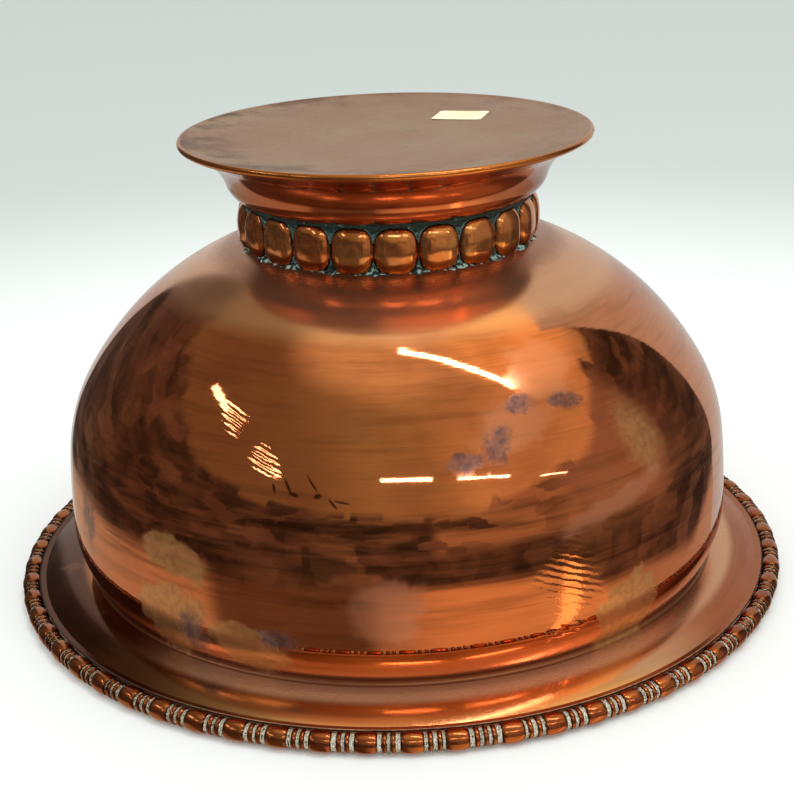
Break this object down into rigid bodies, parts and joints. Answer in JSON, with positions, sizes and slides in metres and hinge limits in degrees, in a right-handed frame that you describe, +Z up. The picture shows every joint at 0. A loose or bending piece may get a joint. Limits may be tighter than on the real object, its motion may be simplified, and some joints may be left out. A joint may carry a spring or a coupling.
{
  "type": "footed bowl",
  "caption": "Copper footed bowl standing upside down: deep round bowl, flange with a bead-and-reel rim wire, beaded neck collar and a flared foot.",
  "frame": {"origin": "centre of the plane that the rim rests on, at the base of the upturned bowl", "axes": "+Z up along the axis, from the rim towards the foot; turn the row half a turn about X to stand the bowl on its foot"},
  "size_m": [0.3798, 0.3799, 0.217],
  "materials": {
    "polished_copper": "polished, with light tarnish",
    "trim_copper": "polished, dark in the recesses",
    "patinated_copper": "satin, with an even brown patina",
    "solder": "dull, with verdigris",
    "label_paper": "matte"
  },
  "bodies": {
    "root": {"bowl_shell": "polished_copper", "rim_moulding": "trim_copper", "rim_solder_seam": "solder", "foot_skirt": "polished_copper", "foot_base_plate": "patinated_copper", "foot_plate_solder_seam": "solder", "bead_collar": "trim_copper", "collar_upper_solder": "solder", "collar_lower_solder": "solder", "neck_solder_joint": "solder", "price_label": "label_paper"}
  },
  "joints": []
}
